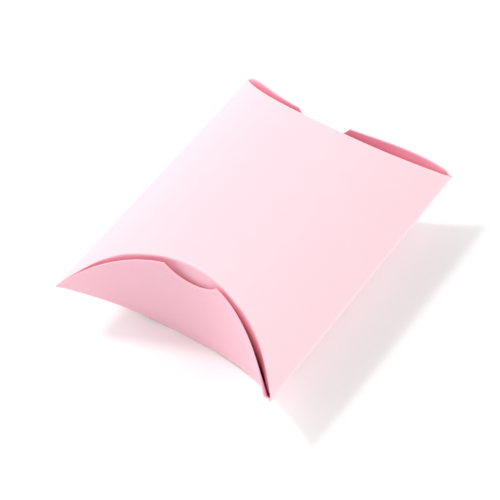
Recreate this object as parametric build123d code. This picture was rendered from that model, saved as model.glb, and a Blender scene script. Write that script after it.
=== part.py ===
from build123d import *
import os
from math import asin, cos, radians, sin, sqrt, tan

# Pillow-shaped favour box: one die-cut card blank, scored, folded and glued along one side.
# The blank is divided at its folds and score lines, which are where the real card hinges.
# Millimetres. X runs across the box, Y along it and Z up, and the origin is under the middle of the belly.

# Box
LENGTH = 90.0  # corner to corner along Y
WIDTH = 66.6  # side fold to side fold along X
CROWN_RISE = 14.4  # outside of the top panel over the fold plane
BELLY_RISE = 14.2  # outside of the bottom panel under the fold plane, before it is pressed flat to rest
END_RECESS = 14.2  # how far the middle of an end crease lies in from the corners
CARD = 0.4  # card thickness
REST_LAND = 6.0  # width of the strip of belly that the box's weight presses flat

# Folds and scores
FOLD_HALF = 1.0  # the side fold's bent strip reaches this far above and below the fold plane
FOLD_RADIUS = 0.35  # rounding of the fold's outer edge
SCORE_WIDTH = 0.8  # pressed strip beside each curved end crease
SCORE_DEPTH = 0.08  # how much thinner the card is there
HINGE_GAP = 0.2  # along the box, between a scored end and the flap that swings on it

# Outer flaps, hinged on the bottom panel
OUTER_LEAN = 3.8  # degrees that a closed outer flap leans out
OUTER_OVER = 0.3  # how far its free edge stands past the crown
CORNER_RELIEF = 1.3  # the foot of each end stops this far short of the box's corner
END_SLANT = 3.0  # and the end has leant back this much further where it meets the free edge
NOTCH_WIDTH = 16.0  # thumb notch across the free edge
NOTCH_DEPTH = 5.0

# Inner flaps, hinged on the top panel
INNER_LEAN = -1.0  # degrees that a closed inner flap leans out, so it leans in
INNER_DEPTH = 16.0  # from the crease to the free edge
INNER_ROOT = 54.0  # width at the crease
INNER_EDGE = 38.0  # width of the free edge
INNER_SHOULDER = 0.8  # depth of the flap's ends beside the crease
INNER_CORNER = 3.0  # rounding of the free corners

# Glued side seam
SEAM_WIDTH = 10.0  # from the fold, along the card
SEAM_RELIEF = 3.0  # each end stops this far short of the box's corner, at the fold
SEAM_TAPER = 40.0  # degrees that each end of the seam flap is cut back
GLUE = 0.12  # film between the seam flap and the bottom panel
GLUE_MARGIN = 1.5  # bare border of the seam flap round the film
GLUE_FIT = 0.01  # between the film and the card on either side

SEAM_LENGTH = LENGTH - 2 * SEAM_RELIEF
LEFT, RIGHT = -1, 1
FRONT, REAR = -1, 1


def arc_radius(chord, rise):
    """Radius of the arc that rises that far over its chord."""
    return (chord**2 / 4 + rise**2) / (2 * rise)


def arc_drop(radius, x):
    """How far an arc has fallen from its crest at x off the middle."""
    return radius - sqrt(radius**2 - x**2)


LAND_DEPTH = arc_drop(arc_radius(WIDTH, BELLY_RISE), REST_LAND / 2)
FOLD_HEIGHT = BELLY_RISE - LAND_DEPTH  # the fold plane's height over the floor


# The functions below draw a panel that rises from the fold plane, and the belly is turned upside down.
def upside_down(shape):
    return mirror(shape, about=Plane.XY)


def arch(rise, inset, base, flat=0.0):
    """Section under a panel's arc, inset into the card, from base to the crest or to the pressed flat."""
    outside = arc_radius(WIDTH, rise)
    radius, centre = outside - inset, rise - outside
    half = sqrt(radius**2 - (base - centre) ** 2)
    curve = ThreePointArc((-half, base), (0, centre + radius), (half, base))
    face = make_face(curve + Line((half, base), (-half, base)))
    ceiling = min(rise - flat, centre + radius)
    return face & (Pos(0, (base + ceiling) / 2) * Rectangle(2 * WIDTH, ceiling - base))


def beside_folds(card, sides):
    """Card with the strips that those side folds take cut away."""
    for side in sides:
        card -= Pos(side * WIDTH / 2, 0, 0) * Box(WIDTH / 2, 2 * LENGTH, 2 * FOLD_HALF)
    return card


def bent_card(rise, flat, sides, skim=0.0):
    """Card bent to a panel's arc over the whole length, between its folds, its outside pressed in by skim."""
    section_face = arch(rise, skim, 0, flat) - arch(rise, CARD, 0, flat + CARD)
    return beside_folds(extrude(Plane.XZ * section_face, LENGTH / 2, both=True), sides)


def crease_plane(rise, end):
    """Plane that the curved crease at that end of a panel lies in."""
    return Plane((0, end * LENGTH / 2, 0), z_dir=(0, end * rise, END_RECESS))


def flap_side(rise, end, slide=0.0):
    """Prism on the flap's side of a panel's curved end crease, slid outwards along the box.

    Its curved wall runs through the crease square to the crease's plane, so panel and flap meet in a mitre.
    """
    base = -FOLD_HALF - SCORE_WIDTH
    under_panel = extrude(Plane.XZ * arch(rise, 0, base), LENGTH, both=True)
    segment = section(under_panel, section_by=crease_plane(rise, end))
    return Pos(0, end * slide, 0) * extrude(segment, LENGTH, both=True)


def panel(rise, flat, sides):
    """Main panel, between the scored strips of its end creases."""
    card = bent_card(rise, flat, sides)
    return card - flap_side(rise, FRONT, -SCORE_WIDTH) - flap_side(rise, REAR, -SCORE_WIDTH)


def score(rise, flat, sides, end):
    """Scored strip along one curved end crease, where the card is pressed thinner."""
    card = bent_card(rise, flat, sides, SCORE_DEPTH)
    return (card & flap_side(rise, end, -SCORE_WIDTH)) - flap_side(rise, end)


def side_fold(side, lower_inset):
    """Straight side fold: the bent strip from the top panel to the card lower_inset inside the belly."""
    base = -2 * FOLD_HALF

    def lens(inset):
        """Section of the space inside both cards, or inside their outer faces."""
        below = arch(BELLY_RISE, inset + lower_inset, base)
        return arch(CROWN_RISE, inset, base) & mirror(below, about=Plane.XZ)

    strip = Pos(side * WIDTH / 2, 0) * Rectangle(WIDTH / 2, 2 * FOLD_HALF)
    bend = (lens(0) - lens(CARD)) & strip
    outer_edge = bend.vertices().sort_by(Axis.X)[-1 if side == RIGHT else 0]
    fold = extrude(Plane.XZ * fillet(outer_edge, FOLD_RADIUS), LENGTH / 2, both=True)
    for end in (FRONT, REAR):
        fold = split(fold, bisect_by=crease_plane(CROWN_RISE, end), keep=Keep.BOTTOM)
        fold = upside_down(fold)
        fold = split(fold, bisect_by=crease_plane(BELLY_RISE, end), keep=Keep.BOTTOM)
        fold = upside_down(fold)
    return fold


def seam_strip(inset, thickness, start, width, length):
    """Strip that lies inset into the belly panel on its right side, start from the fold and width across.

    It is longest at the fold, and both its ends are cut back towards its free edge.
    """
    belly = arc_radius(WIDTH, BELLY_RISE)
    centre = BELLY_RISE - belly
    outer, inner = belly - inset, belly - inset - thickness
    first = asin(-centre / outer) + start / outer
    last = first + width / outer
    middle = (first + last) / 2

    def at(radius, angle):
        return (radius * cos(angle), centre + radius * sin(angle))

    outline = ThreePointArc(at(outer, first), at(outer, middle), at(outer, last))
    outline += Line(at(outer, last), at(inner, last))
    outline += ThreePointArc(at(inner, last), at(inner, middle), at(inner, first))
    outline += Line(at(inner, first), at(outer, first))
    strip = extrude(Plane.XZ * make_face(outline), length / 2, both=True)
    for end in (FRONT, REAR):
        cut = Plane((WIDTH / 2, end * length / 2, 0), z_dir=(-tan(radians(SEAM_TAPER)), end, 0))
        strip = split(strip, bisect_by=cut, keep=Keep.BOTTOM)
    return strip


def seam_flap():
    """Glue flap that turns in from the top panel at the right fold and lies on the inside of the belly."""
    return beside_folds(seam_strip(CARD + GLUE, CARD, 0, SEAM_WIDTH, SEAM_LENGTH), (RIGHT,))


def glue_film():
    """Adhesive between the seam flap and the belly, held in from the flap's edges."""
    start = FOLD_HALF + GLUE_MARGIN
    width = SEAM_WIDTH - start - GLUE_MARGIN
    return seam_strip(CARD + GLUE_FIT, GLUE - 2 * GLUE_FIT, start, width, SEAM_LENGTH - 2 * GLUE_MARGIN)


def hinge_point(rise, flat):
    """Where a panel's outside meets the middle of its rear crease: the distance along Y, and the height."""
    height = rise - flat
    return LENGTH / 2 - height * END_RECESS / rise, height


def rear_flap(rise, flat, lean, outline):
    """Flap of the rear end that stands up from the belly's crease, in card bent to follow that crease.

    It is drawn upright about its hinge point, cut to its outline, leaned over and mitred beside the crease.
    """
    hinge_y, depth = hinge_point(rise, flat)
    reach = LENGTH / 2 - hinge_y
    sagitta = reach * cos(radians(lean)) - depth * sin(radians(lean))
    outside = arc_radius(WIDTH, sagitta)
    half = WIDTH / 2

    def bow(radius):
        """Points of one face's arc in plan: an end, the middle and the other end."""
        side = outside - sqrt(radius**2 - half**2)
        return (-half, side), (0, outside - radius), (half, side)

    out, into = bow(outside), bow(outside + CARD)
    plan = ThreePointArc(*out) + Line(out[2], into[2])
    plan += ThreePointArc(*reversed(into)) + Line(into[0], out[0])
    wall = extrude(make_face(plan), LENGTH, both=True)
    flap = wall & extrude(Plane.XZ * outline, WIDTH, both=True)
    flap = Pos(0, hinge_y, -depth) * Rot(-lean, 0, 0) * flap
    return flap & upside_down(flap_side(rise, REAR, HINGE_GAP))


def outer_outline():
    """Outer flap seen from its end, over its hinge: up to the line of the crown, with a thumb notch."""
    foot, crest = -CROWN_RISE, FOLD_HEIGHT + CROWN_RISE + OUTER_OVER
    half = WIDTH / 2
    edge = ThreePointArc((-half, FOLD_HEIGHT), (0, crest), (half, FOLD_HEIGHT))
    edge += Polyline((half, FOLD_HEIGHT), (half, foot), (-half, foot), (-half, FOLD_HEIGHT))
    end_foot = half - CORNER_RELIEF
    end_top = end_foot - END_SLANT
    low, high = FOLD_HEIGHT - END_SLANT, FOLD_HEIGHT + END_SLANT
    right_end = [(end_foot, foot), (end_foot, low), (end_top, high), (end_top, 2 * crest)]
    left_end = [(-x, z) for x, z in reversed(right_end)]
    between_ends = make_face(Polyline(*right_end, *left_end, close=True))
    notch_radius = arc_radius(NOTCH_WIDTH, NOTCH_DEPTH)
    notch = Pos(0, crest - NOTCH_DEPTH + notch_radius) * Circle(notch_radius)
    return (make_face(edge) & between_ends) - notch


def inner_outline():
    """Inner flap seen from its end, over its hinge: a tuck flap with slanting sides and rounded corners."""
    root, edge = INNER_ROOT / 2, INNER_EDGE / 2
    foot = -CROWN_RISE
    shoulder = arc_drop(arc_radius(WIDTH, CROWN_RISE), root) + INNER_SHOULDER
    right_side = [(root, foot), (root, shoulder), (edge, INNER_DEPTH)]
    left_side = [(-x, z) for x, z in reversed(right_side)]
    face = make_face(Polyline(*right_side, *left_side, close=True))
    free_corners = face.vertices().sort_by(Axis.Y)[-2:]
    return fillet(free_corners, INNER_CORNER)


# The belly's right side is a cut edge, which laps over the seam flap.
top_panel = (CROWN_RISE, 0, (LEFT, RIGHT))
belly_panel = (BELLY_RISE, LAND_DEPTH, (LEFT,))
nodes = {
    "top_panel": panel(*top_panel),
    "bottom_panel": upside_down(panel(*belly_panel)),
    "left_fold": side_fold(LEFT, 0),
    "right_fold": side_fold(RIGHT, CARD + GLUE),
    "seam_flap": upside_down(seam_flap()),
    "glue_film": upside_down(glue_film()),
}
outer_flap = rear_flap(BELLY_RISE, LAND_DEPTH, OUTER_LEAN, outer_outline())
inner_flap = upside_down(rear_flap(CROWN_RISE, 0, INNER_LEAN, inner_outline()))
for name, end, turn in (("front", FRONT, 180), ("rear", REAR, 0)):
    nodes[f"{name}_top_score"] = score(*top_panel, end)
    nodes[f"{name}_bottom_score"] = upside_down(score(*belly_panel, end))
    nodes[f"{name}_outer_flap"] = Rot(0, 0, turn) * outer_flap
    nodes[f"{name}_inner_flap"] = Rot(0, 0, turn) * inner_flap

os.makedirs("parts", exist_ok=True)
for name, shape in nodes.items():
    export_step(Pos(0, 0, FOLD_HEIGHT) * shape, f"parts/{name}.step")

outer_y, outer_depth = hinge_point(BELLY_RISE, LAND_DEPTH)
inner_y, inner_height = hinge_point(CROWN_RISE, 0)
print("outer flaps hinge at y", round(outer_y, 4), "z", round(FOLD_HEIGHT - outer_depth, 4))
print("inner flaps hinge at y", round(inner_y, 4), "z", round(FOLD_HEIGHT + inner_height, 4))
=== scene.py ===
import bpy
import numpy as np
from mathutils import Matrix, Vector


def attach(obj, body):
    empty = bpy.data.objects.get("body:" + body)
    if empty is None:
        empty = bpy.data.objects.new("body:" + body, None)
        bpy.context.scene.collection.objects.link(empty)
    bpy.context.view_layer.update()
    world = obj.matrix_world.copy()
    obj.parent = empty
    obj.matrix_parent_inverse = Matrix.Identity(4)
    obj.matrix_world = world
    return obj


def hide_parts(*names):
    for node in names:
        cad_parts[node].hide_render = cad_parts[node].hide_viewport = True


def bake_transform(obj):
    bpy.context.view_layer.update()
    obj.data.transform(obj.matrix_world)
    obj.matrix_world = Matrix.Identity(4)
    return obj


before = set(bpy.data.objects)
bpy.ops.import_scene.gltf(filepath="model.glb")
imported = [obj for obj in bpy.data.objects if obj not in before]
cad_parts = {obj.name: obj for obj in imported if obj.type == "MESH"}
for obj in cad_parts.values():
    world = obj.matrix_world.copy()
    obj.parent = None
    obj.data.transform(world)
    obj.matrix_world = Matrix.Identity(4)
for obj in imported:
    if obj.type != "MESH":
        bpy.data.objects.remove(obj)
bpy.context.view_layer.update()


# The sleeve
# The body of the box: one piece of pink card, dyed through, bowed up and down between two side folds. It is
# die-cut and scored flat, folded, and glued into a sleeve along the right fold, where a flap of the top lies
# inside the belly.

# Lengths are in millimetres, and MILLIMETRE turns them into metres
MILLIMETRE = 0.001
UP, DOWN = 1, -1
CARD = 0.4
HALF_LENGTH = 45.0
HALF_WIDTH = 33.3
FOLD_HEIGHT = 14.1024
RISE = {UP: 14.4, DOWN: 14.2}
FULLNESS = 2.8
END_RECESS = 14.2
CREASE_ROLL = {UP: 0.75, DOWN: 0.45}
ROLL_FADE = 2.0
MITRE_SOFTNESS = 0.02
THUMB_DENT = 1.7
DENT_HALF = 15.0
FOLD_ROUNDING = 0.8
CUT_EDGE_DROP = 1.1
GLUE_GAP = 0.13
SEAM_WIDTH = 10.0
SEAM_REACH = 42.0
SEAM_TAPER = 0.839
SEAM_TUCK = 0.9
SEAM_TURN = 0.96

# Fineness of the mesh
SECTION_POINTS = 1601
LINE_SPACING = 0.04
STATION_DENSITY = 0.9
BEND_DENSITY = 9.0
LENGTH_ROWS = 41
ROLL_STEPS = 6
CUT_EDGE_ANGLE = 40.0

# Finish of the card
FACE_COLOUR = (0.975, 0.665, 0.725)
# The reverse colour is painted shade: deeper than the face, for the shade and pink bounced light inside the
# box.
REVERSE_PAINTED_SHADE_COLOUR = (0.975, 0.33, 0.43)
# The worn colour and its paleness are wear and a painted highlight at the side folds and rolled creases, and
# a painted highlight along the flaps' cut edges.
WORN_AND_HIGHLIGHT_COLOUR = (0.98, 0.76, 0.81)
WEAR_AND_HIGHLIGHT_PALENESS = 0.6
FOLD_WEAR_AND_HIGHLIGHT_REACH = 0.78
FOLD_WEAR_AND_HIGHLIGHT_FADE = 0.6
CREASE_WEAR_AND_HIGHLIGHT = 1.4
MOTTLE_SCALE = 160.0
MOTTLE_DETAIL = 3.0
MOTTLE_RANGE = (0.3, 0.7)
MOTTLE_PALENESS = 0.08
FIBRE_SCALE = 2600.0
FIBRE_DETAIL = 4.0
FIBRE_DISTORTION = 0.6
FELT_STRENGTH = 0.12
FELT_HEIGHT = 0.05
CARD_ROUGHNESS = (0.5, 0.66)
CARD_GLOSS = 0.35


def bow(x):
    """Share of the full rise at x: one less the power FULLNESS of x's share of the half width."""
    return 1 - np.abs(x / HALF_WIDTH) ** FULLNESS


def panel_height(x, way):
    """Height of the outside of the top (way UP) or the belly (DOWN, pressed flat on the floor) at x."""
    return np.maximum(FOLD_HEIGHT + way * RISE[way] * bow(x), 0)


def upright(x, way):
    """Vertical part of a panel's unit normal at x: one over the root of one plus the bow's slope squared."""
    slope = FULLNESS * RISE[way] / HALF_WIDTH * np.abs(x / HALF_WIDTH) ** (FULLNESS - 1)
    return 1 / np.sqrt(1 + slope**2)


def ease(share):
    """Soft step from 0 to 1: three times the square of the share less twice its cube."""
    share = np.clip(share, 0, 1)
    return share**2 * (3 - 2 * share)


def crease_reach(z):
    """Reach of an end crease from the box's middle at height z: it recedes in a plane from the corners."""
    above, below = (z - FOLD_HEIGHT) / RISE[UP], (FOLD_HEIGHT - z) / RISE[DOWN]
    return HALF_LENGTH - END_RECESS * np.maximum(above, below)


def thumb_dent(x):
    """How far the thumb that closed the box pressed the front's top crease in at x: a low arch, squared."""
    return THUMB_DENT * np.maximum(1 - (x / DENT_HALF)**2, 0)**2


def crease_radius(z):
    """Outside radius of the rolled end crease at height z: the roll, eased out towards the box's corners."""
    roll = np.where(z > FOLD_HEIGHT, CREASE_ROLL[UP], CREASE_ROLL[DOWN])
    return roll * ease(np.abs(z - FOLD_HEIGHT) / ROLL_FADE)


def mitre(steepness):
    """How far a crease's inside stands back along Y and Z: the card's thickness over the steepness."""
    return CARD * steepness / (steepness**2 + MITRE_SOFTNESS)


def panel_curve(way, depth):
    """Section of the top (UP, left to right) or the belly (DOWN, right to left), inset along its normal."""
    x = way * np.linspace(-HALF_WIDTH, HALF_WIDTH, SECTION_POINTS)
    z = panel_height(x, way)
    along_x, along_z = np.gradient(x), np.gradient(z)
    length = np.hypot(along_x, along_z)
    return np.stack([x + depth * along_z / length, z - depth * along_x / length], -1)


def run_along(path):
    """Length of the path up to each of its points: the running sum of its steps."""
    return np.concatenate([[0], np.cumsum(np.hypot(*np.diff(path, axis=0).T))])


def rounded(path, rounding, spacing):
    """Path resampled at even spacing and averaged over a raised-cosine window, which rounds its corners."""
    along = run_along(path)
    even = np.arange(0, along[-1], spacing)
    half = int(rounding / spacing / 2)
    window = np.hanning(2 * half + 3)[1:-1]
    window /= window.sum()
    lines = [np.pad(np.interp(even, along, line), half, "reflect", reflect_type="odd") for line in path.T]
    return np.stack([np.convolve(line, window, "valid") for line in lines], -1)


def card_sheet(name, outside, inside, wear_and_highlight):
    """Closed sheet between two matching grids of points, with a value from 0 to 1 at each point for wear and
    painted highlight.

    Each cell of a grid is one four-sided face. The outside's faces and, wound the other way, the inside's
    are joined by a strip of faces round the grids' border, which is the cut edge of the card.
    """
    rows, columns = outside.shape[:2]
    number = np.arange(rows * columns).reshape(rows, columns)

    def cells(grid):
        """Point numbers at the corners of every cell, in order round the cell."""
        return np.stack([grid[:-1, :-1], grid[1:, :-1], grid[1:, 1:], grid[:-1, 1:]], -1).reshape(-1, 4)

    border = np.concatenate([number[0], number[1:, -1], number[-1, -2::-1], number[-2::-1, 0]])
    below = border + rows * columns
    edge = np.stack([border[:-1], border[1:], below[1:], below[:-1]], -1)
    faces = np.concatenate([cells(number), cells(number + rows * columns)[:, ::-1], edge])
    points = np.concatenate([outside.reshape(-1, 3), inside.reshape(-1, 3)]) * MILLIMETRE
    mesh = bpy.data.meshes.new(name)
    mesh.from_pydata(points.tolist(), [], faces.tolist())
    mesh.polygons.foreach_set("use_smooth", np.ones(len(faces), bool))
    mesh.set_sharp_from_angle(angle=np.radians(CUT_EDGE_ANGLE))
    wear_and_highlight = np.tile(np.broadcast_to(wear_and_highlight, (rows, columns)).ravel(), 2)
    reverse = np.repeat([0.0, 1.0], rows * columns)
    for label, values in (("wear_and_highlight", wear_and_highlight), ("reverse", reverse)):
        mesh.attributes.new(label, "FLOAT", "POINT").data.foreach_set("value", values.astype(np.float32))
    mesh.update()
    piece = bpy.data.objects.new(name, mesh)
    bpy.context.scene.collection.objects.link(piece)
    return piece


def card_fibre_group():
    """Node group of pressed paper fibre: broad mottling of the dye, and the fine felt of the surface."""
    group = bpy.data.node_groups.new("card_fibre", "ShaderNodeTree")
    for name in ("Mottle Scale", "Fibre Scale"):
        group.interface.new_socket(name, in_out="INPUT", socket_type="NodeSocketFloat")
    for name in ("Mottle", "Fibre"):
        group.interface.new_socket(name, in_out="OUTPUT", socket_type="NodeSocketFloat")
    nodes, links = group.nodes, group.links
    given, result = nodes.new("NodeGroupInput"), nodes.new("NodeGroupOutput")
    place = nodes.new("ShaderNodeTexCoord")
    for pattern, detail in (("Mottle", MOTTLE_DETAIL), ("Fibre", FIBRE_DETAIL)):
        noise = nodes.new("ShaderNodeTexNoise")
        noise.inputs["Detail"].default_value = detail
        noise.inputs["Distortion"].default_value = FIBRE_DISTORTION
        links.new(place.outputs["Object"], noise.inputs["Vector"])
        links.new(given.outputs[f"{pattern} Scale"], noise.inputs["Scale"])
        links.new(noise.outputs["Fac"], result.inputs[pattern])
    return group


def card_material(name, face, reverse):
    """Matte dyed card, mottled, deeper in colour on its reverse as painted shade for the shade inside the
    box, paler at the side folds and rolled creases from wear and a painted highlight, and paler along the
    flaps' cut edges as a painted highlight.

    The side that is seen is the reverse attribute, swapped on back faces, which a tight bend of the thin
    sheet shows.
    """
    material = bpy.data.materials.new(name)
    material.use_nodes = True
    nodes, links = material.node_tree.nodes, material.node_tree.links
    shader = nodes["Principled BSDF"]
    shader.inputs["Specular IOR Level"].default_value = CARD_GLOSS
    fibre = nodes.new("ShaderNodeGroup")
    fibre.node_tree = fibre_group
    fibre.inputs["Mottle Scale"].default_value = MOTTLE_SCALE
    fibre.inputs["Fibre Scale"].default_value = FIBRE_SCALE
    # The wear attribute lightens the colour for wear and painted highlight; the reverse side takes the
    # painted shade colour.
    worn_and_highlit = nodes.new("ShaderNodeAttribute")
    worn_and_highlit.attribute_name = "wear_and_highlight"
    mottle = nodes.new("ShaderNodeMapRange")
    mottle.inputs["From Min"].default_value = MOTTLE_RANGE[0]
    mottle.inputs["From Max"].default_value = MOTTLE_RANGE[1]
    mottle.inputs["To Max"].default_value = MOTTLE_PALENESS
    links.new(fibre.outputs["Mottle"], mottle.inputs["Value"])
    lightness = nodes.new("ShaderNodeMath")
    lightness.operation = "MULTIPLY_ADD"
    lightness.use_clamp = True
    lightness.inputs[1].default_value = WEAR_AND_HIGHLIGHT_PALENESS
    links.new(worn_and_highlit.outputs["Fac"], lightness.inputs[0])
    links.new(mottle.outputs["Result"], lightness.inputs[2])
    side, geometry = nodes.new("ShaderNodeAttribute"), nodes.new("ShaderNodeNewGeometry")
    side.attribute_name = "reverse"
    swapped, shown = nodes.new("ShaderNodeMath"), nodes.new("ShaderNodeMath")
    swapped.operation, shown.operation = "SUBTRACT", "ABSOLUTE"
    links.new(side.outputs["Fac"], swapped.inputs[0])
    links.new(geometry.outputs["Backfacing"], swapped.inputs[1])
    links.new(swapped.outputs["Value"], shown.inputs[0])
    dye, tint = nodes.new("ShaderNodeMix"), nodes.new("ShaderNodeMix")
    dye.data_type = tint.data_type = "RGBA"
    dye.inputs["A"].default_value = (*face, 1)
    dye.inputs["B"].default_value = (*reverse, 1)
    tint.inputs["B"].default_value = (*WORN_AND_HIGHLIGHT_COLOUR, 1)
    links.new(shown.outputs["Value"], dye.inputs["Factor"])
    links.new(dye.outputs["Result"], tint.inputs["A"])
    links.new(lightness.outputs["Value"], tint.inputs["Factor"])
    links.new(tint.outputs["Result"], shader.inputs["Base Color"])
    roughness = nodes.new("ShaderNodeMapRange")
    roughness.inputs["To Min"].default_value = CARD_ROUGHNESS[0]
    roughness.inputs["To Max"].default_value = CARD_ROUGHNESS[1]
    links.new(fibre.outputs["Fibre"], roughness.inputs["Value"])
    links.new(roughness.outputs["Result"], shader.inputs["Roughness"])
    bump = nodes.new("ShaderNodeBump")
    bump.inputs["Strength"].default_value = FELT_STRENGTH
    bump.inputs["Distance"].default_value = FELT_HEIGHT * MILLIMETRE
    links.new(fibre.outputs["Fibre"], bump.inputs["Height"])
    links.new(bump.outputs["Normal"], shader.inputs["Normal"])
    return material


def sleeve_stations():
    """Middle line of the card round the sleeve, its outward normals, and each point's share of seam flap.

    The line runs from the belly's cut edge, just under the right fold, over the left fold and the top to the
    right fold, and on along the seam flap inside the belly. Points lie closer where it bends: their density
    grows with its curvature.
    """
    belly, top = panel_curve(DOWN, CARD / 2), panel_curve(UP, CARD / 2)
    seam = panel_curve(DOWN, CARD / 2 + CARD + GLUE_GAP)
    belly = belly[belly[:, 1] <= FOLD_HEIGHT - np.where(belly[:, 0] > 0, CUT_EDGE_DROP, 0)]
    top = top[top[:, 1] >= FOLD_HEIGHT]
    seam = seam[(seam[:, 1] <= FOLD_HEIGHT - SEAM_TUCK) & (seam[:, 0] > 0)]
    seam = seam[run_along(seam) <= SEAM_WIDTH]
    line = rounded(np.concatenate([belly, top, seam]), FOLD_ROUNDING, LINE_SPACING)
    at = np.arange(len(line))
    tangent = np.gradient(line, axis=0)
    tangent /= np.hypot(*tangent.T)[:, None]
    normal = np.stack([-tangent[:, 1], tangent[:, 0]], -1)
    heading = np.unwrap(np.arctan2(tangent[:, 1], tangent[:, 0]))
    density = STATION_DENSITY + BEND_DENSITY * np.abs(np.gradient(heading, LINE_SPACING))
    total = np.cumsum(density)
    count = int(total[-1] * LINE_SPACING) + 1
    pick = np.interp(np.linspace(total[0], total[-1], count), total, at)
    from_end = (len(line) - at) * LINE_SPACING
    turned = ease((SEAM_WIDTH + SEAM_TURN / 3 - from_end) / SEAM_TURN)
    return [np.stack([np.interp(pick, at, column) for column in part.T], -1)
            for part in (line, normal, turned[:, None])]


def sleeve_grids():
    """Outside and inside grid of the sleeve, and its wear and painted highlight: the section carried along Y
    between the creases.

    Outside, the last rows at either end follow an eighth of a turn of the rolled crease. Inside, the sheet
    ends at the mitre of the crease. The seam flap's ends are cut back on a slant instead. The thumb's dent
    in the front crease fades out along Y towards the middle.
    """
    line, normal, seam = sleeve_stations()
    seam = seam[:, 0]
    outer, inner = line + normal * CARD / 2, line - normal * CARD / 2
    steepness = np.abs(normal[:, 1])
    seam_reach = SEAM_REACH + SEAM_TAPER * (line[:, 0] - HALF_WIDTH)
    reach = (1 - seam) * crease_reach(outer[:, 1]) + seam * seam_reach
    radius = (1 - seam) * crease_radius(outer[:, 1])
    back = mitre(steepness) * (1 + END_RECESS / RISE[UP])
    inner_reach = (1 - seam) * (crease_reach(inner[:, 1]) - back) + seam * seam_reach
    dent = np.where(normal[:, 1] > 0, thumb_dent(line[:, 0]), 0)[:, None]
    turn = np.radians(np.linspace(45, 0, ROLL_STEPS + 1))[:-1]
    angle = np.concatenate([turn, np.zeros(LENGTH_ROWS), turn[::-1]])
    share = np.concatenate([-np.ones(ROLL_STEPS), np.linspace(-1, 1, LENGTH_ROWS), np.ones(ROLL_STEPS)])
    rolled_y = share * (reach - radius)[:, None] + np.sign(share) * radius[:, None] * np.sin(angle)
    rolled_y += dent * np.maximum(-share, 0)
    rolled_z = outer[:, 1, None] - (np.sign(normal[:, 1]) * radius)[:, None] * (1 - np.cos(angle))
    outside = np.stack([np.broadcast_to(outer[:, 0, None], rolled_y.shape), rolled_y, rolled_z], -1)
    inside_share = np.linspace(-1, 1, len(share))
    inside_y = inside_share * inner_reach[:, None] + dent * np.maximum(-inside_share, 0)
    inside = np.stack([np.broadcast_to(inner[:, 0, None], inside_y.shape), inside_y,
                       np.broadcast_to(inner[:, 1, None], inside_y.shape)], -1)
    # Paler at the side folds and the rolled creases: wear and a painted highlight.
    from_fold = np.abs(line[:, 1] - FOLD_HEIGHT)
    fold = ease((FOLD_WEAR_AND_HIGHLIGHT_REACH - from_fold) / FOLD_WEAR_AND_HIGHLIGHT_FADE) * (1 - seam)
    wear_and_highlight = np.maximum(fold[:, None], np.sin(angle) * CREASE_WEAR_AND_HIGHLIGHT * (1 - seam)[:, None])
    return outside, inside, np.clip(wear_and_highlight, 0, 1)


fibre_group = card_fibre_group()
sleeve = card_sheet("sleeve", *sleeve_grids())
# The sleeve's reverse, inside the box, takes the painted shade colour.
sleeve.data.materials.append(card_material("pink_card", FACE_COLOUR, REVERSE_PAINTED_SHADE_COLOUR))
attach(sleeve, "box")
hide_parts("top_panel", "bottom_panel", "left_fold", "right_fold", "seam_flap", "front_top_score",
            "front_bottom_score", "rear_top_score", "rear_bottom_score")


# The seam's adhesive
# A thin film of white glue, dried clear and yellowish, rolled on the seam flap before the belly is pressed
# on it. It is held in from the flap's edges, so nothing of it shows from outside.
GLUE_CLEARANCE = 0.01
GLUE_START = 1.0
GLUE_MARGIN = 1.5
GLUE_COLUMNS = 25
GLUE_ROWS = 31
GLUE_COLOUR = (0.86, 0.80, 0.62)
GLUE_THIN_COLOUR = (0.93, 0.90, 0.80)
GLUE_STREAKS = (900, 60, 900)
GLUE_ROUGHNESS = (0.22, 0.42)


def glue_grids():
    """Both faces of the film: insets of the belly's curve, carried along Y to slants inside the flap's."""
    faces = [panel_curve(DOWN, CARD + gap) for gap in (GLUE_CLEARANCE, GLUE_GAP - GLUE_CLEARANCE)]
    across = np.linspace(GLUE_START + GLUE_MARGIN, SEAM_WIDTH - GLUE_MARGIN, GLUE_COLUMNS)
    pick = np.searchsorted(run_along(faces[0]), across)
    share = np.linspace(-1, 1, GLUE_ROWS)
    grids = []
    for face in faces:
        x, z = face[pick, 0, None], face[pick, 1, None]
        y = share * (SEAM_REACH - GLUE_MARGIN + SEAM_TAPER * (x - HALF_WIDTH))
        grids.append(np.stack([x + 0 * y, y, z + 0 * y], -1))
    return grids


def glue_material():
    """Dried white glue: smooth and slightly glossy, streaked along the seam where the roller drew it out."""
    material = bpy.data.materials.new("dried_glue")
    material.use_nodes = True
    nodes, links = material.node_tree.nodes, material.node_tree.links
    shader = nodes["Principled BSDF"]
    place, drawn = nodes.new("ShaderNodeTexCoord"), nodes.new("ShaderNodeMapping")
    drawn.inputs["Scale"].default_value = GLUE_STREAKS
    streaks, colour = nodes.new("ShaderNodeTexNoise"), nodes.new("ShaderNodeMix")
    streaks.inputs["Scale"].default_value = 1.0
    colour.data_type = "RGBA"
    colour.inputs["A"].default_value = (*GLUE_COLOUR, 1)
    colour.inputs["B"].default_value = (*GLUE_THIN_COLOUR, 1)
    roughness = nodes.new("ShaderNodeMapRange")
    roughness.inputs["To Min"].default_value = GLUE_ROUGHNESS[0]
    roughness.inputs["To Max"].default_value = GLUE_ROUGHNESS[1]
    links.new(place.outputs["Object"], drawn.inputs["Vector"])
    links.new(drawn.outputs["Vector"], streaks.inputs["Vector"])
    links.new(streaks.outputs["Fac"], colour.inputs["Factor"])
    links.new(streaks.outputs["Fac"], roughness.inputs["Value"])
    links.new(colour.outputs["Result"], shader.inputs["Base Color"])
    links.new(roughness.outputs["Result"], shader.inputs["Roughness"])
    return material


adhesive = card_sheet("seam_adhesive", *glue_grids(), np.zeros((1, 1)))
adhesive.data.materials.append(glue_material())
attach(adhesive, "box")
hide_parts("glue_film")


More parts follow.
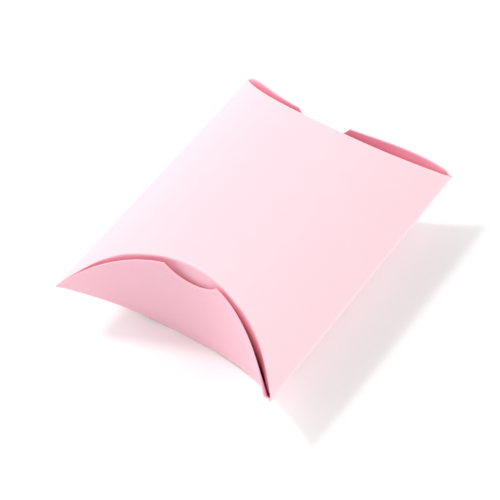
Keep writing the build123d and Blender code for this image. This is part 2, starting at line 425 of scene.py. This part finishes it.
# The inner end flaps
# Tuck flaps of the same card, hinged on the top's curved end creases and folded down first. Their free edge
# is straight, a little shorter than the crease, and has rounded corners, so that they pass between the side
# folds.
ENDS = {"front": 1, "rear": -1}
PRESSED = {"front": 1, "rear": 0}
INNER_HALF_ROOT = 31.9
INNER_HALF_EDGE = 28.0
INNER_DEPTH = 16.0
INNER_SHOULDER = 2.2
INNER_CORNER = 5.0
INNER_OUTLINE_SPACING = 0.05
INNER_COLUMNS = 97
INNER_ROWS = 25
INNER_LEAN = 0.0175
INNER_PUFF = 0.15
PUFF_NARROWING = 1.4
SIDE_BULGE = 0.4
SIDE_FROM, SIDE_RISE, SIDE_FADE = 9.0, 10.0, 4.5
PRESSED_BULGE = 0.6
PRESSED_FROM, PRESSED_RISE = 25.0, 5.0
SPRING_BACK = 0.6
SPRING_DEPTH = 7.0
INNER_TUCK = 0.45
TUCK_DROP = 1.2
TUCK_FROM, TUCK_RISE = 22.0, 8.0
# Paleness along the flaps' cut edges is a painted highlight; along the crease's roll it is wear and a
# painted highlight.
EDGE_PAINTED_HIGHLIGHT = 0.3
ROLL_WEAR_AND_HIGHLIGHT = 0.2
# The flap colours are painted shade: the same card as the sleeve, made deeper for the shaded ends and, on
# the reverse, for the shade inside the box.
FLAP_PAINTED_SHADE_COLOUR = (0.975, 0.56, 0.65)
FLAP_REVERSE_PAINTED_SHADE_COLOUR = (0.985, 0.35, 0.46)


def inner_flap_grids(pressed):
    """Front inner flap: columns run straight from points of its rounded free outline up to the crease.

    In plan it follows the crease's own curve, as a card folded on a curved crease does, and leans in with
    depth. Its springy sides bulge outwards. The top rows follow the second eighth of a turn of the rolled
    crease. Where it is pressed (1, not 0) it stands in by the thumb's dent, of which a part springs back
    with depth, and its ends bulge more.
    """
    shoulder = panel_height(INNER_HALF_ROOT, UP) - INNER_SHOULDER
    low = panel_height(0, UP) - INNER_DEPTH
    corners = np.array([[-INNER_HALF_ROOT, shoulder], [-INNER_HALF_EDGE, low], [INNER_HALF_EDGE, low],
                        [INNER_HALF_ROOT, shoulder]])
    outline = rounded(corners, INNER_CORNER, INNER_OUTLINE_SPACING)
    share = np.linspace(0, 1, INNER_COLUMNS)
    free = np.stack([np.interp(share, np.linspace(0, 1, len(outline)), line) for line in outline.T], -1)
    root_x = INNER_HALF_ROOT * (2 * share - 1)
    root_z = panel_height(root_x, UP)
    radius, back = crease_radius(root_z), mitre(upright(root_x, UP))

    def wall(x, z):
        """Distance along Y of the flap's outside at x and z: the crease's reach and its bulges' arches.

        The dent, the lean with depth and a step in near both ends, which clears the outer flap's tips, are
        taken off.
        """
        line = panel_height(x, UP)
        from_middle = np.abs(x)
        arch = np.sin(np.pi * np.clip((line - z) / (line - low), 0, 1))
        side = ease((from_middle - SIDE_FROM) / SIDE_RISE) * ease((HALF_WIDTH - from_middle) / SIDE_FADE)
        bulge = SIDE_BULGE + pressed * PRESSED_BULGE * ease((from_middle - PRESSED_FROM) / PRESSED_RISE)
        puff = INNER_PUFF * arch * np.maximum(bow(PUFF_NARROWING * x), 0) + bulge * arch * side
        tuck = INNER_TUCK * ease((line - z) / TUCK_DROP) * ease((from_middle - TUCK_FROM) / TUCK_RISE)
        dent = pressed * thumb_dent(x) * (1 - SPRING_BACK * ease((line - z) / SPRING_DEPTH))
        return crease_reach(line) - dent - INNER_LEAN * (line - z) + puff - tuck

    def column_grid(top, rows):
        """X and Z of every column's points, at even steps from the free outline up to the given top."""
        up = np.linspace(0, 1, rows)
        x = free[:, 0, None] + (root_x - free[:, 0])[:, None] * up
        return x, free[:, 1, None] + (top - free[:, 1])[:, None] * up

    turn = np.radians(np.linspace(90, 45, ROLL_STEPS + 1))[1:]
    x, z = column_grid(root_z - radius, INNER_ROWS)
    roll_x = np.broadcast_to(root_x[:, None], (INNER_COLUMNS, ROLL_STEPS))
    root_y = crease_reach(root_z) - pressed * thumb_dent(root_x)
    roll_y = root_y[:, None] - radius[:, None] * (1 - np.sin(turn))
    roll_z = root_z[:, None] - radius[:, None] * (1 - np.cos(turn))
    face, roll = np.stack([x, -wall(x, z), z], -1), np.stack([roll_x, -roll_y, roll_z], -1)
    x, z = column_grid(root_z - back, INNER_ROWS + ROLL_STEPS)
    inside = np.stack([x, -wall(x, z) + mitre(upright(x, UP)), z], -1)
    # Painted highlight along the cut edges; wear and painted highlight on the roll rows.
    wear_and_highlight = np.zeros(x.shape)
    wear_and_highlight[:, 0] = wear_and_highlight[0] = wear_and_highlight[-1] = EDGE_PAINTED_HIGHLIGHT
    wear_and_highlight[:, -ROLL_STEPS:] = np.linspace(ROLL_WEAR_AND_HIGHLIGHT, 1, ROLL_STEPS)
    return np.concatenate([face, roll], 1), inside, wear_and_highlight


def turned_about(grid, sign):
    """Grid turned half round about the box's upright axis where sign is negative: X and Y change sign."""
    return grid * np.array([sign, sign, 1])


# The flaps' material carries the deeper, painted shade colours.
flap_card_painted_shade = card_material("flap_card_painted_shade", FLAP_PAINTED_SHADE_COLOUR, FLAP_REVERSE_PAINTED_SHADE_COLOUR)
for end, sign in ENDS.items():
    outside, inside, wear_and_highlight = inner_flap_grids(PRESSED[end])
    flap = card_sheet(f"{end}_inner_card", turned_about(outside, sign), turned_about(inside, sign), wear_and_highlight)
    flap.data.materials.append(flap_card_painted_shade)
    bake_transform(flap)
    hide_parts(f"{end}_inner_flap")


# The outer end flaps
# Lens-shaped flaps of the same card, hinged on the belly's end creases and folded up over the inner ones.
# The free edge follows the top's crease, standing a little off it, and has a thumb notch cut out of its
# middle.
NOTCH_HALF = 7.7
NOTCH_MIDDLE = 0.4
NOTCH_DEPTH = 4.6
NOTCH_CORNER = (-0.6, 0.2)
NOTCH_CORNER_COLUMNS = 17
TIP = 33.05
TIP_FADE = 2.1
OUTER_COLUMNS = 141
OUTER_ROWS = 31
LEAN_POWER = 1.2
STATIONS = (-31, -25, -16, 0, 13, 24, 31)
LEAN = {"front": (1.75, 2.9, 2.87, 0.6, 1.7, 2.85, 2.7), "rear": (1.65, 3.15, 3.05, 1.3, 1.35, 2.1, 1.2)}


def outer_flap_grids(lean_at_stations):
    """Front outer flap: columns run from the belly's crease up to the free edge, less a circle segment.

    The segment is the thumb notch. In plan the flap follows the crease's curve, and leans out with height.
    The lean is the polynomial in x through its values at the stations, and fades out at both tips. Columns
    lie closer at the tips and at the notch's ends. The lowest rows follow the second eighth of a turn of the
    rolled crease.
    """
    corner = np.linspace(NOTCH_HALF + NOTCH_CORNER[0], NOTCH_HALF + NOTCH_CORNER[1], NOTCH_CORNER_COLUMNS)
    even = TIP * np.sin(np.linspace(-np.pi / 2, np.pi / 2, OUTER_COLUMNS))
    x = np.unique(np.round(np.concatenate([even, NOTCH_MIDDLE - corner, NOTCH_MIDDLE + corner]), 4))
    root_z, line_z = panel_height(x, DOWN), panel_height(x, UP)
    notch_radius = (NOTCH_HALF**2 + NOTCH_DEPTH**2) / (2 * NOTCH_DEPTH)
    from_notch = np.abs(x - NOTCH_MIDDLE)
    notch = np.sqrt(np.maximum(notch_radius**2 - from_notch**2, 0)) - (notch_radius - NOTCH_DEPTH)
    free_z = line_z - np.where(from_notch < NOTCH_HALF, np.maximum(notch, 0), 0)
    radius, back = crease_radius(root_z), mitre(upright(x, DOWN))
    curve = np.polyfit(np.array(STATIONS) / HALF_WIDTH, lean_at_stations, len(STATIONS) - 1)
    lean = np.polyval(curve, x / HALF_WIDTH) * ease((HALF_WIDTH - np.abs(x)) / TIP_FADE)

    def wall(z):
        """Distance along Y of the flap's outside at z: the crease's reach and the lean's share by height."""
        height = np.clip((z - root_z[:, None]) / (line_z - root_z)[:, None], 0, 1)
        return crease_reach(root_z)[:, None] + lean[:, None] * height**LEAN_POWER

    def column_grid(foot, rows):
        """Z of every column's points, at even steps from the given foot up to the free edge."""
        return foot[:, None] + (free_z - foot)[:, None] * np.linspace(0, 1, rows)

    turn = np.radians(np.linspace(45, 90, ROLL_STEPS + 1))[:-1]
    roll_y = crease_reach(root_z)[:, None] - radius[:, None] * (1 - np.sin(turn))
    roll_z = root_z[:, None] + radius[:, None] * (1 - np.cos(turn))
    face_z = column_grid(root_z + radius, OUTER_ROWS)
    y, z = np.concatenate([roll_y, wall(face_z)], 1), np.concatenate([roll_z, face_z], 1)
    columns = np.broadcast_to(x[:, None], z.shape)
    outside = np.stack([columns, -y, z], -1)
    z = column_grid(root_z + back, OUTER_ROWS + ROLL_STEPS)
    inside = np.stack([columns, -wall(z) + back[:, None], z], -1)
    # Painted highlight along the cut edges; wear and painted highlight on the roll rows.
    wear_and_highlight = np.zeros(z.shape)
    wear_and_highlight[:, -1] = wear_and_highlight[0] = wear_and_highlight[-1] = EDGE_PAINTED_HIGHLIGHT
    wear_and_highlight[:, :ROLL_STEPS] = np.linspace(1, ROLL_WEAR_AND_HIGHLIGHT, ROLL_STEPS)
    return outside, inside, wear_and_highlight


for end, sign in ENDS.items():
    outside, inside, wear_and_highlight = outer_flap_grids(LEAN[end])
    flap = card_sheet(f"{end}_outer_card", turned_about(outside, sign), turned_about(inside, sign), wear_and_highlight)
    flap.data.materials.append(flap_card_painted_shade)
    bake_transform(flap)
    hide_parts(f"{end}_outer_flap")


# The floor
# A sheet of smooth white paper, larger than any view. It takes the box's shadow and its pink bounced light.
# Looked at directly or in a reflection, it is a little whiter than in the light that it throws on the box.
FLOOR_HALF = 1500.0
FLOOR_COLOUR = (0.92, 0.92, 0.92)
FLOOR_SEEN_COLOUR = (1.0, 1.0, 1.0)
FLOOR_UNEVENNESS = 0.005
FLOOR_CLOUD_SCALE = 30.0
FLOOR_ROUGHNESS = 0.9


def looked_at(nodes, links):
    """Socket that is 1 where the camera, a reflection or glass looks: the largest of three kinds of ray."""
    path = nodes.new("ShaderNodeLightPath")
    seen = path.outputs["Is Camera Ray"]
    for kind in ("Is Glossy Ray", "Is Transmission Ray"):
        either = nodes.new("ShaderNodeMath")
        either.operation = "MAXIMUM"
        links.new(seen, either.inputs[0])
        links.new(path.outputs[kind], either.inputs[1])
        seen = either.outputs["Value"]
    return seen


def floor_material():
    """Smooth white paper with a barely visible unevenness of tone."""
    material = bpy.data.materials.new("white_paper")
    material.use_nodes = True
    nodes, links = material.node_tree.nodes, material.node_tree.links
    shader = nodes["Principled BSDF"]
    shader.inputs["Specular IOR Level"].default_value = 0.0
    shader.inputs["Roughness"].default_value = FLOOR_ROUGHNESS
    place, cloud = nodes.new("ShaderNodeTexCoord"), nodes.new("ShaderNodeTexNoise")
    cloud.inputs["Scale"].default_value = FLOOR_CLOUD_SCALE
    links.new(place.outputs["Object"], cloud.inputs["Vector"])
    shown = nodes.new("ShaderNodeMix")
    shown.data_type = "RGBA"
    for socket, colour in (("A", FLOOR_COLOUR), ("B", FLOOR_SEEN_COLOUR)):
        tone = nodes.new("ShaderNodeMix")
        tone.data_type = "RGBA"
        tone.inputs["A"].default_value = (*colour, 1)
        tone.inputs["B"].default_value = (*(value - FLOOR_UNEVENNESS for value in colour), 1)
        links.new(cloud.outputs["Fac"], tone.inputs["Factor"])
        links.new(tone.outputs["Result"], shown.inputs[socket])
    links.new(looked_at(nodes, links), shown.inputs["Factor"])
    links.new(shown.outputs["Result"], shader.inputs["Base Color"])
    return material


floor_corners = np.array([(-1, -1, 0), (1, -1, 0), (1, 1, 0), (-1, 1, 0)]) * FLOOR_HALF * MILLIMETRE
floor_mesh = bpy.data.meshes.new("floor")
floor_mesh.from_pydata(floor_corners.tolist(), [], [(0, 1, 2, 3)])
floor = bpy.data.objects.new("floor", floor_mesh)
floor.data.materials.append(floor_material())
bpy.context.scene.collection.objects.link(floor)


# The light
# A white studio tent, dark where the viewer stands, with a large softbox on either side and a lamp high on
# the left. Looked at directly or in a reflection, the tent is plain white. A softbox here is its direction,
# strength and sharpness.
SURROUND = 0.285
SOFTBOXES = (((-0.933, -0.25, 0.2588), 1.99, 3), ((0.8529, 0.1504, 0.5), 2.03, 4))
TO_LAMP = (-0.6366, -0.0895, 0.766)
LAMP_STRENGTH = 0.96
LAMP_ANGLE = 10.0


def white_tent():
    """World light: SURROUND, plus each softbox's strength times a power of the share towards it."""
    world = bpy.data.worlds.new("white_tent")
    world.use_nodes = True
    nodes, links = world.node_tree.nodes, world.node_tree.links
    light, seen = nodes["Background"], nodes.new("ShaderNodeBackground")
    place, level = nodes.new("ShaderNodeTexCoord"), None
    for direction, strength, sharpness in SOFTBOXES:
        facing = nodes.new("ShaderNodeVectorMath")
        facing.operation = "DOT_PRODUCT"
        facing.inputs[1].default_value = direction
        share, lobe, total = (nodes.new("ShaderNodeMath") for _ in range(3))
        share.operation, lobe.operation, total.operation = "MAXIMUM", "POWER", "MULTIPLY_ADD"
        share.inputs[1].default_value = 0.0
        lobe.inputs[1].default_value = sharpness
        total.inputs[1].default_value = strength
        total.inputs[2].default_value = SURROUND
        links.new(place.outputs["Generated"], facing.inputs[0])
        links.new(facing.outputs["Value"], share.inputs[0])
        links.new(share.outputs["Value"], lobe.inputs[0])
        links.new(lobe.outputs["Value"], total.inputs[0])
        if level:
            links.new(level, total.inputs[2])
        level = total.outputs["Value"]
    for background in (light, seen):
        background.inputs["Color"].default_value = (1, 1, 1, 1)
    links.new(level, light.inputs["Strength"])
    choice = nodes.new("ShaderNodeMixShader")
    links.new(looked_at(nodes, links), choice.inputs["Fac"])
    links.new(light.outputs["Background"], choice.inputs[1])
    links.new(seen.outputs["Background"], choice.inputs[2])
    links.new(choice.outputs["Shader"], nodes["World Output"].inputs["Surface"])
    return world


bpy.context.scene.world = white_tent()
lamp_data = bpy.data.lights.new("soft_lamp", "SUN")
lamp_data.energy = LAMP_STRENGTH
lamp_data.angle = np.radians(LAMP_ANGLE)
lamp = bpy.data.objects.new("soft_lamp", lamp_data)
lamp.rotation_euler = Vector(TO_LAMP).to_track_quat("Z", "Y").to_euler()
bpy.context.scene.collection.objects.link(lamp)


# The camera
# A long lens that looks down on the near right corner of the box from half above. It is aimed a little to
# the left of the box's middle and below it, and stands off by the distance.
CAMERA_TURN = 33.678
CAMERA_RISE = 50.345
CAMERA_DISTANCE = 550.9
CAMERA_ASIDE = -2.288
CAMERA_LIFT = -5.19
CAMERA_LENS = 150.08
CAMERA_SENSOR = 36.0

turn, rise = np.radians([CAMERA_TURN, CAMERA_RISE])
toward = np.array([np.sin(turn) * np.cos(rise), -np.cos(turn) * np.cos(rise), np.sin(rise)])
right = np.array([np.cos(turn), np.sin(turn), 0])
above = np.cross(toward, right)
aim = np.array([0, 0, FOLD_HEIGHT]) + right * CAMERA_ASIDE + above * CAMERA_LIFT
stand = aim + toward * CAMERA_DISTANCE
camera_data = bpy.data.cameras.new("camera")
camera_data.lens = CAMERA_LENS
camera_data.sensor_width = CAMERA_SENSOR
camera = bpy.data.objects.new("camera", camera_data)
facing = Matrix(np.stack([right, above, toward], 1).tolist()).to_4x4()
camera.matrix_world = Matrix.Translation(stand * MILLIMETRE) @ facing
bpy.context.scene.collection.objects.link(camera)
bpy.context.scene.camera = camera
bpy.context.scene.view_settings.view_transform = "Standard"
